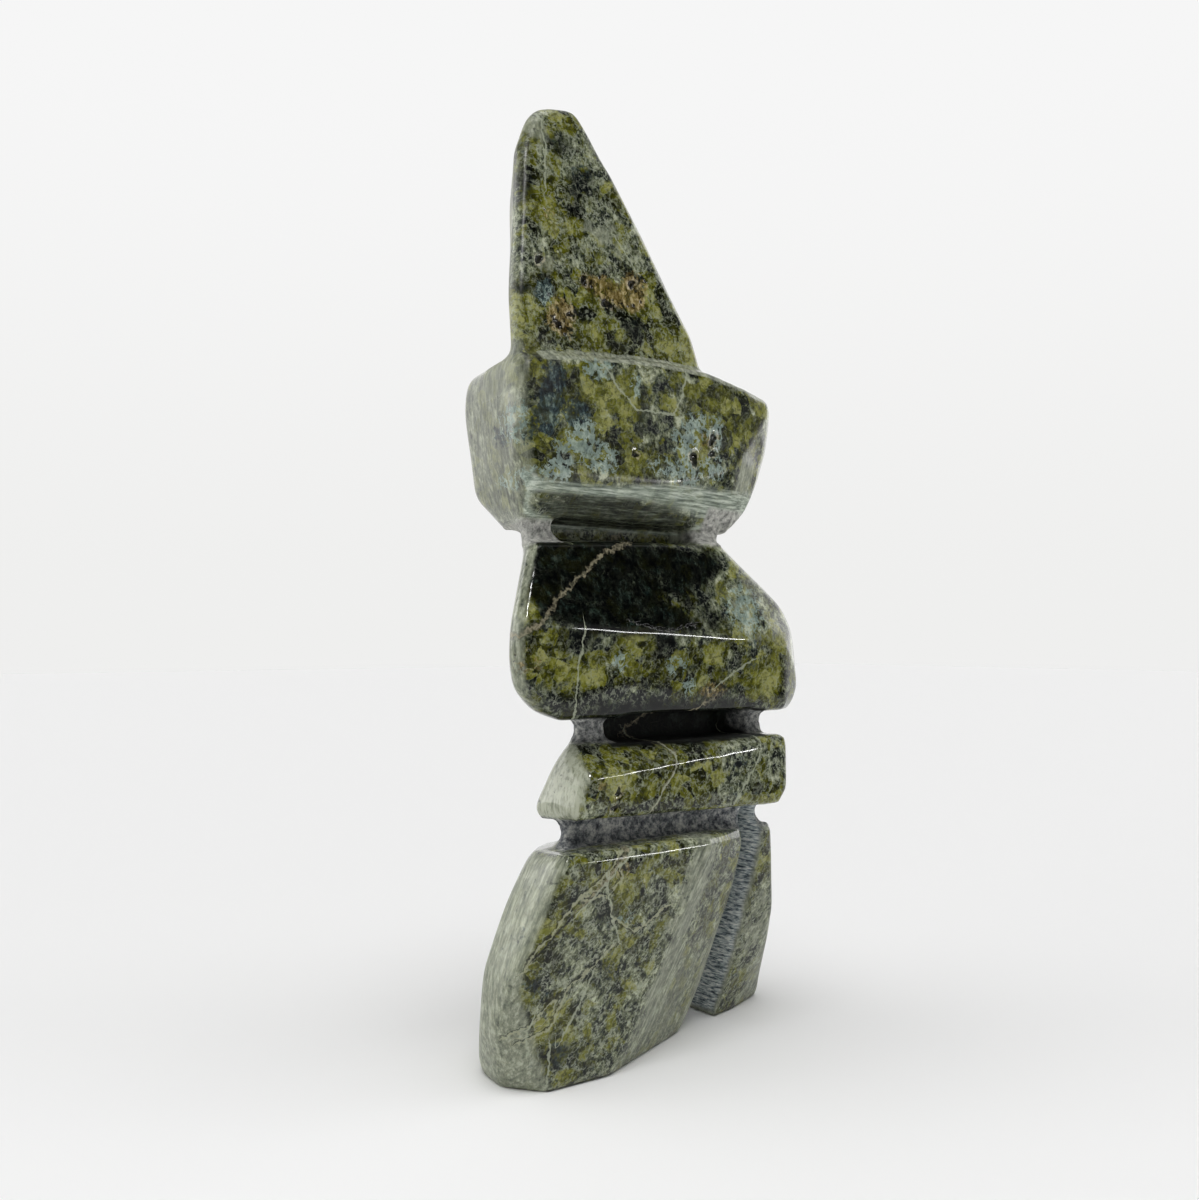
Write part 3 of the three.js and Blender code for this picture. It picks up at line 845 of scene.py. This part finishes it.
# %% [markdown]
# ## Serpentine
# Some colours here are painted light and shade: a pale sheen on the side faces, the legs' right
# faces, the waist's left face and the shoulder's bevel and top edge, a lighter saw cut, and painted
# shadow in the belly hollow.
#
# Two grounds share the stone: a grey one of blue-black and pale flecks, and an olive one of
# rounded, slightly clear cells with pale rims. Fine pale and dark wisps run through both. Over
# them lie the navy and black clouds, the rust, the pale-blue webs, the lines, the pits and the
# tool marks. The patterns are three-dimensional textures on object coordinates, so they run
# through the stone and meet round every edge, as in a real block. The grain stands upright in
# the head and leans with the legs, so the coordinates are sheared below the hips.
#
# Two effects come again and again, so each is a node group: flecks, and cells with rims.

# %% Group: stretched flecks
VECTOR, NUMBER = "NodeSocketVector", "NodeSocketFloat"


def new_group(name, inputs, outputs):
    """An empty shader node group with named sockets, and its nodes for them."""
    group = bpy.data.node_groups.new(name, "ShaderNodeTree")
    for socket, kind in inputs.items():
        group.interface.new_socket(name=socket, in_out="INPUT", socket_type=kind)
    for socket in outputs:
        group.interface.new_socket(name=socket, in_out="OUTPUT", socket_type=NUMBER)
    return group, group.nodes.new("NodeGroupInput"), group.nodes.new("NodeGroupOutput")


inputs = {"Place": VECTOR, "Stretch": VECTOR, "Size": NUMBER, "Shift": VECTOR}
tree, start, end = new_group("stone_flecks", inputs, ["Value"])
fleck_group = tree
given = start.outputs
squeezed = reckon_vector("MULTIPLY_ADD", given["Place"], given["Stretch"], given["Shift"])
scale = reckon("DIVIDE", 1.0, given["Size"])
grain = noise(squeezed, scale, detail=3.0, roughness=0.72)[0]
tree.links.new(grain, end.inputs["Value"])
count("fleck group")

# %% Group: cells with rims
inputs = {"Place": VECTOR, "Size": NUMBER, "Rim": NUMBER}
tree, start, end = new_group("stone_cells", inputs, ["Rim", "Pick", "Inside"])
cell_group = tree
scale = reckon("DIVIDE", 1.0, start.outputs["Size"])
inputs = {"Vector": start.outputs["Place"], "Scale": scale}
edges = put("TexVoronoi", inputs, feature="DISTANCE_TO_EDGE")
rim = fade(edges.outputs["Distance"], start.outputs["Rim"], 0.0)
cells = put("TexVoronoi", inputs, feature="F1")
pick = put("SeparateXYZ", {0: cells.outputs["Color"]}).outputs[0]
for name, value in (("Rim", rim), ("Pick", pick), ("Inside", cells.outputs["Distance"])):
    tree.links.new(value, end.inputs[name])
count("cell group")

# %% The stone's material, its coordinates
LEG_LEAN = 0.5
LEG_TOP = 58.0
MIDDLE = 0.5

serpentine = bpy.data.materials.new("polished_serpentine")
serpentine.use_nodes = True
tree = serpentine.node_tree
shader = tree.nodes["Principled BSDF"]
coordinates = put("TexCoord").outputs["Object"]
inputs = {"Vector": coordinates, "Scale": (1 / MM, 1 / MM, 1 / MM)}
place = put("Mapping", inputs).outputs[0]


def warp(vector, scale, reach, seed):
    """Shift a vector by noise, so that a pattern laid on it wanders."""
    shift = noise(vector, scale, seed=seed)["Color"]
    shift = reckon_vector("SUBTRACT", shift, (MIDDLE, MIDDLE, MIDDLE))
    return reckon_vector("MULTIPLY_ADD", shift, (reach, reach, reach), vector)


across, depth, rise = put("SeparateXYZ", {0: place}).outputs
low_rise = reckon("MINIMUM", rise, LEG_TOP)
slid = reckon("ADD", across, times(low_rise, -LEG_LEAN))
upright = put("CombineXYZ", {0: slid, 1: depth, 2: rise}).outputs[0]
wander = warp(place, scale=0.12, reach=5.0, seed=1.0)
ragged = warp(upright, scale=1.1, reach=0.9, seed=3.0)
print("serpentine reads object coordinates in millimetres")

# %% Helpers: painted zones, mixtures and colour ramps
def painted(name):
    """A number painted on the skin's points."""
    return put("Attribute", attribute_name=name).outputs["Fac"]


def use(group, **inputs):
    """Place a node group, fill its sockets and give its outputs."""
    return put("Group", inputs, node_tree=group).outputs


def ramp(value, *stops):
    """A colour ramp, given as positions and screen colours."""
    node = put("ValToRGB", {0: value})
    elements = node.color_ramp.elements
    while len(elements) < len(stops):
        elements.new(MIDDLE)
    for element, (position, colour) in zip(elements, stops):
        element.position = position
        element.color = rgb(*colour)
    return node.outputs[0]


def from_middle(value):
    """How far a value lies from the middle, either way."""
    return reckon("ABSOLUTE", reckon("SUBTRACT", value, MIDDLE))


def blend(*terms):
    """Add up values, each measured from its middle and given a weight, around the middle."""
    total = MIDDLE
    for value, weight in terms:
        total = reckon("MULTIPLY_ADD", reckon("SUBTRACT", value, MIDDLE), weight, total)
    return total


def zone(name, value, weight, start, end):
    """A mask where a painted zone, broken up by a noise value, is strong."""
    return fade(reckon("MULTIPLY_ADD", painted(name), weight, value), start, end)


print("helpers are ready")

# %% The grains that all colours share
SALT_STRETCH = (1.0, 1.0, 0.52)
FIBRE_STRETCH, FIBRE_SHIFT = (1.0, 1.0, 0.2), (30.0, 70.0, 10.0)
DEEPENING = -0.2
CALM_CRISP, CALM_GRIT, CALM_CLOUD = 0.4, 0.55, 1.5

salt = use(fleck_group, Place=ragged, Stretch=SALT_STRETCH, Size=0.95)["Value"]
inputs = {"Place": upright, "Stretch": FIBRE_STRETCH, "Size": 1.2, "Shift": FIBRE_SHIFT}
fibre = use(fleck_group, **inputs)["Value"]
blotch = noise(wander, scale=0.18, detail=5.0, roughness=0.62, seed=5.0)[0]
crumb = noise(place, scale=0.75, detail=3.0, roughness=0.6, seed=6.0)[0]
shade = noise(wander, scale=0.3, detail=4.0, roughness=0.6, seed=7.0)[0]
mood = noise(wander, scale=0.2, seed=17.0)[0]
patch_place = warp(wander, scale=0.5, reach=2.4, seed=8.0)
patches = use(cell_group, Place=patch_place, Size=3.6, Rim=0.07)
bits = use(cell_group, Place=ragged, Size=1.5, Rim=0.12)
deep = reckon("MULTIPLY_ADD", painted("deep"), DEEPENING, MIDDLE)
calm = painted("calm")
crisp = fade(calm, 0.0, 1.0, low=1.0, high=CALM_CRISP)
grit = blend((salt, fade(calm, 0.0, 1.0, low=1.0, high=CALM_GRIT)))
cloud = blend((shade, fade(calm, 0.0, 1.0, low=1.0, high=CALM_CLOUD)))
count("grains")

# %% Wisps: pale and dark threads where a noise passes through its middle
WISP_CORE = 0.015


def wisps(scale, seed, thick):
    """Fine broken threads, 1 in their middle and 0 away from it."""
    wandering = warp(upright, scale=0.45, reach=2.4, seed=seed)
    value = noise(wandering, scale, detail=4.0, roughness=0.62, seed=seed + 0.5)[0]
    return fade(from_middle(value), thick, WISP_CORE)


pale_wisp = times(wisps(0.5, 11.0, thick=0.055), fade(crumb, 0.39, 0.55), crisp)
dark_wisp = times(wisps(0.42, 13.0, thick=0.07), fade(crumb, 0.6, 0.44))
count("with wisps")

# %% The grey ground
grey_value = blend((grit, 1.2), (cloud, 1.3), (mood, 0.6), (bits["Pick"], 0.2), (deep, 1.0))
grey = ramp(
    grey_value,
    (0.23, (16, 20, 21)), (0.34, (42, 48, 42)), (0.43, (70, 76, 59)), (0.5, (90, 96, 72)),
    (0.575, (112, 118, 92)), (0.68, (143, 149, 122)), (0.82, (190, 195, 168)),
)
count("with grey ground")

# %% The olive ground
RIM_PALE = rgb(150, 158, 128)

glow = reckon("ADD", fade(painted("olive"), 0.7, 1.3, high=0.16), MIDDLE)
olive_value = blend((patches["Pick"], 0.56), (bits["Pick"], 0.14), (grit, 0.45), (mood, 0.9),
                    (cloud, 0.5), (deep, 1.0), (glow, 1.0))
olive = ramp(
    olive_value,
    (0.2, (9, 11, 1)), (0.32, (30, 33, 2)), (0.43, (56, 58, 8)), (0.52, (77, 79, 14)),
    (0.61, (96, 98, 26)), (0.73, (118, 120, 46)), (0.9, (150, 151, 88)),
)
rim_mask = times(patches["Rim"], fade(crumb, 0.4, 0.56), crisp)
olive = tint(rim_mask, olive, RIM_PALE, strength=0.65)
count("with olive ground")

# %% Lay one ground over the other
WISP_PALE = rgb(164, 170, 150)
WISP_DARK = rgb(20, 24, 24)
WISP_SHARE, OLIVE_WISP_LOSS = 0.8, -0.35
WAIST_SHEEN_LIFT = 0.12

border = blend((blotch, 1.0), (crumb, 0.15), (patches["Pick"], 0.14))
olive_zone = zone("olive", border, weight=0.28, start=0.47, end=0.57)
ground = tint(olive_zone, grey, olive)
ground = tint(dark_wisp, ground, WISP_DARK, strength=0.6)
wisp_share = reckon("MULTIPLY_ADD", olive_zone, OLIVE_WISP_LOSS, WISP_SHARE)
ground = tint(times(pale_wisp, wisp_share), ground, WISP_PALE)
pale_value = blend((fibre, 0.75), (salt, 0.3), (shade, 0.3))
# Painted sheen: the waist's left face is made paler still, for the light that it mirrors.
pale_value = reckon("MULTIPLY_ADD", painted("waist_sheen"), WAIST_SHEEN_LIFT, pale_value)
pale = ramp(pale_value, (0.34, (90, 96, 83)), (0.5, (138, 143, 124)), (0.66, (186, 190, 170)))
# Pale stone, and pale painted sheen on the legs' right faces and the shoulder's top edge.
pale_and_sheen_zone = zone("pale", blotch, weight=0.35, start=0.6, end=0.76)
ground = tint(pale_and_sheen_zone, ground, pale, strength=0.8)
# Painted sheen: the side faces are covered with the pale colour, for the bright room that they
# mirror.
ground = tint(painted("side_face_sheen"), ground, pale, strength=0.92)
count("grounds joined")

# %% Clouds, rust and webs
navy = ramp(
    blend((salt, 1.0), (shade, 0.8)),
    (0.34, (12, 17, 23)), (0.48, (32, 44, 50)), (0.6, (62, 80, 84)), (0.74, (116, 134, 128)),
)
navy_value = blend((blotch, 1.0), (crumb, 0.9))
navy_zone = zone("navy", navy_value, weight=0.32, start=0.66, end=0.84)
ground = tint(navy_zone, ground, navy, strength=0.85)
rust = ramp(
    blend((bits["Pick"], 0.3), (salt, 1.0)),
    (0.3, (26, 21, 9)), (0.41, (68, 56, 25)), (0.5, (108, 92, 49)), (0.6, (148, 130, 82)),
    (0.7, (194, 178, 136)),
)
rust_value = blend((crumb, 1.0), (blotch, 0.5))
rust_zone = zone("rust", rust_value, weight=0.42, start=0.7, end=0.88)
ground = tint(rust_zone, ground, rust, strength=0.8)
web = ramp(
    blend((salt, 0.55), (shade, 0.5)),
    (0.36, (92, 110, 104)), (0.5, (134, 153, 144)), (0.62, (176, 192, 180)),
)
web_place = warp(place, scale=0.6, reach=2.0, seed=9.0)
web_value = noise(web_place, scale=0.3, detail=3.0, roughness=0.6, seed=9.5)[0]
web_value = times(from_middle(web_value), -1.0)
web_zone = zone("web", web_value, weight=0.085, start=0.0, end=0.03)
ground = tint(web_zone, ground, web, strength=0.8)
# Black stone, and the painted shadow and dark reflection from the black spots.
black = ramp(
    blend((shade, 1.2), (salt, 0.7)),
    (0.4, (2, 3, 3)), (0.55, (6, 10, 8)), (0.68, (18, 28, 26)), (0.84, (42, 56, 50)),
)
black_value = blend((blotch, 1.0), (crumb, 0.35))
black_zone = zone("black", black_value, weight=0.5, start=0.55, end=1.05)
ground = tint(black_zone, ground, black, strength=0.96)
count("with clouds, rust and webs")

# %% Helpers: wobbling lines
def wobble_of(scale, reach, seed):
    """A noise around zero that bends a line to either side by half its reach."""
    value = noise(place, scale, roughness=0.6, seed=seed)[0]
    return reckon("MULTIPLY_ADD", value, reach, -reach / 2)


def line_mask(name, wobble, half_width):
    """A thin line where the painted distance passes through zero."""
    away = reckon("ABSOLUTE", reckon("ADD", painted(name + "_side"), wobble))
    line = fade(away, half_width, times(half_width, 0.5))
    return times(line, painted(name + "_near"))


slow_wobble = wobble_of(scale=0.3, reach=3.0, seed=31.0)
fine_wobble = wobble_of(scale=0.8, reach=1.2, seed=32.0)
wobble = reckon("ADD", slow_wobble, fine_wobble)
count("wobbles")

# %% Veins, seams, threads and cracks
VEIN_BEIGE = rgb(150, 143, 118)
SEAM_PALE = rgb(164, 166, 138)
THREAD_PALE = rgb(168, 174, 152)
CRACK_BLACK = rgb(12, 12, 12)
VEIN_BORDER = 0.6
SEAM_SHADOW = 0.55
THREAD_SWAY = 0.6
LADDER_RUNG, LADDER_GAP = 0.65, 0.35

vein_width = fade(crumb, 0.38, 0.62, low=0.3, high=1.0)
ladder = use(cell_group, Place=place, Size=1.3, Rim=0.22)["Rim"]
ladder = reckon("MULTIPLY_ADD", ladder, LADDER_RUNG, LADDER_GAP)
vein = times(line_mask("vein", wobble, vein_width), ladder)
vein_edge = line_mask("vein", wobble, reckon("ADD", vein_width, VEIN_BORDER))
vein_share = fade(shade, 0.4, 0.56, low=0.45, high=0.85)
ground = tint(vein_edge, ground, CRACK_BLACK, strength=0.4)
ground = tint(times(vein, vein_share), ground, VEIN_BEIGE)
seam = line_mask("seam", wobble, fade(crumb, 0.4, 0.62, low=0.18, high=0.62))
shadow_width = fade(blotch, 0.42, 0.6, low=0.15, high=0.6)
shadow = line_mask("seam", reckon("ADD", wobble, SEAM_SHADOW), shadow_width)
ground = tint(shadow, ground, CRACK_BLACK, strength=0.7)
ground = tint(seam, ground, SEAM_PALE, strength=0.8)
thread_wobble = reckon("MULTIPLY_ADD", slow_wobble, THREAD_SWAY, fine_wobble)
thread = line_mask("thread", thread_wobble, fade(crumb, 0.35, 0.65, low=0.2, high=0.5))
ground = tint(thread, ground, THREAD_PALE, strength=0.75)
crack = line_mask("crack", fine_wobble, fade(crumb, 0.4, 0.6, low=0.1, high=0.6))
ground = tint(crack, ground, CRACK_BLACK, strength=0.8)
count("with all lines")

# %% Pits
PIT_BLACK = rgb(10, 9, 8)
PIT_RIM = rgb(196, 186, 160)

pit = painted("pit")
pit_edge = times(fade(pit, 0.02, 0.15), fade(pit, 0.45, 0.25))
pit_edge = times(pit_edge, fade(salt, 0.45, 0.6))
ground = tint(pit_edge, ground, PIT_RIM, strength=0.6)
ground = tint(fade(pit, 0.3, 0.55), ground, PIT_BLACK, strength=0.92)
count("with pits")

# %% The shoulder's bevel with a streaky painted sheen, its underside, and small holes in the rust
STREAK_STRETCH = (0.12, 0.6, 1.6)

flow = reckon_vector("MULTIPLY", place, STREAK_STRETCH)
streak = noise(flow, scale=0.9, detail=4.0, roughness=0.7, seed=41.0)[0]
# Painted sheen: the downward bevel is painted whitish, with streaks, for the white table that it
# mirrors.
bevel_sheen = ramp(streak, (0.38, (100, 112, 100)), (0.5, (164, 176, 160)), (0.62, (222, 230, 216)))
ground = tint(painted("bevel_sheen"), ground, bevel_sheen, strength=0.8)
underside = ramp(
    streak,
    (0.36, (8, 11, 8)), (0.48, (32, 36, 27)), (0.56, (64, 70, 57)), (0.68, (118, 126, 110)),
)
underside_zone = zone("underside", blend((streak, 2.2)), weight=0.9, start=0.85, end=1.25)
ground = tint(underside_zone, ground, underside, strength=0.85)
specks = use(cell_group, Place=place, Size=2.3, Rim=0.1)
speck = times(fade(specks["Inside"], 0.26, 0.16), fade(specks["Pick"], 0.6, 0.62))
speck = times(speck, zone("rust", crumb, weight=0.5, start=0.62, end=0.8))
ground = tint(speck, ground, PIT_BLACK, strength=0.85)
count("with bevel and underside")

# %% Rough stone
TOOL_STRETCH, TOOL_SHIFT = (0.35, 0.35, 2.2), (50.0, 20.0, 90.0)

rough_mask = painted("rough")
inputs = {"Place": place, "Stretch": TOOL_STRETCH, "Size": 1.3, "Shift": TOOL_SHIFT}
tool = use(fleck_group, **inputs)["Value"]
gouge = noise(place, scale=0.55, detail=4.0, roughness=0.75, seed=21.0)[0]
neck = ramp(
    gouge,
    (0.36, (38, 42, 48)), (0.46, (94, 98, 102)), (0.54, (140, 142, 142)), (0.66, (196, 196, 190)),
)
pads = ramp(gouge, (0.34, (96, 98, 94)), (0.5, (168, 168, 162)), (0.66, (214, 214, 206)))
# The saw cut is painted lighter than the stone's own colour: painted light, which makes up for the
# shade inside the cut.
groove_lightened = ramp(
    tool,
    (0.36, (64, 74, 84)), (0.47, (152, 162, 166)), (0.56, (212, 218, 216)), (0.66, (246, 246, 240)),
)
rough_colour = tint(painted("pale_pads"), neck, pads)
rough_colour = tint(painted("cut_walls"), rough_colour, groove_lightened)
colour = tint(rough_mask, ground, rough_colour)
tree.links.new(colour, shader.inputs["Base Color"])
count("all colours")

# %% [markdown]
# ## Gloss and relief
#
# The polish is nearly a mirror on the dark minerals and a little duller on the pale webs and
# veins, which are softer. It is duller still on the legs and on a few edges, where the photo
# shows no glint, and the necks, the cut and the hollows have no polish at all. Tool marks,
# cracks and pits get a bump on top of the displaced mesh.

# %% Roughness and bump
POLISH_BEST, POLISH_LEAST = 0.06, 0.16
EDGE_DULLER = 0.5
LEG_DULLER, LEG_DULL, LEG_BRIGHT = 0.3, 47.0, 54.0
WEB_ROUGHNESS = 0.28
TOOLED_ROUGHNESS = 0.85
STONE_IOR = 1.38
BUMP_STRENGTH, BUMP_HEIGHT = 0.7, 0.35 * MM


def mix_value(mask, under, over):
    """The value under, replaced by the value over where the mask says so."""
    return put("Mix", {0: mask, 2: under, 3: over}, data_type="FLOAT").outputs[0]


polish = fade(salt, 0.4, 0.7, low=POLISH_BEST, high=POLISH_LEAST)
polish = reckon("MULTIPLY_ADD", painted("dull_edge"), EDGE_DULLER, polish)
polish = reckon("ADD", polish, fade(rise, LEG_DULL, LEG_BRIGHT, low=LEG_DULLER, high=0.0))
polish = mix_value(reckon("MAXIMUM", vein, web_zone), polish, WEB_ROUGHNESS)
unpolished = reckon("MAXIMUM", rough_mask, painted("hollow"))
roughness = mix_value(unpolished, polish, TOOLED_ROUGHNESS)
tree.links.new(roughness, shader.inputs["Roughness"])
marks = times(rough_mask, reckon("ADD", gouge, tool))
holes = reckon("MAXIMUM", speck, fade(pit, 0.3, 0.8))
relief = reckon("SUBTRACT", marks, reckon("MAXIMUM", crack, holes))
inputs = {"Height": relief, "Strength": BUMP_STRENGTH, "Distance": BUMP_HEIGHT}
tree.links.new(put("Bump", inputs).outputs[0], shader.inputs["Normal"])
shader.inputs["IOR"].default_value = STONE_IOR
stone.data.materials.append(serpentine)
count("serpentine")


# %% [markdown]
# ## Hand over
#
# The stone stands for the imported solid: it rides on the same body, takes the same material slot
# and hides the plain solid.

# %% Ride and replace
bpy.context.scene.view_settings.view_transform = "Standard"
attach(stone, "root")
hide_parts("inukshuk")
bpy.context.view_layer.update()
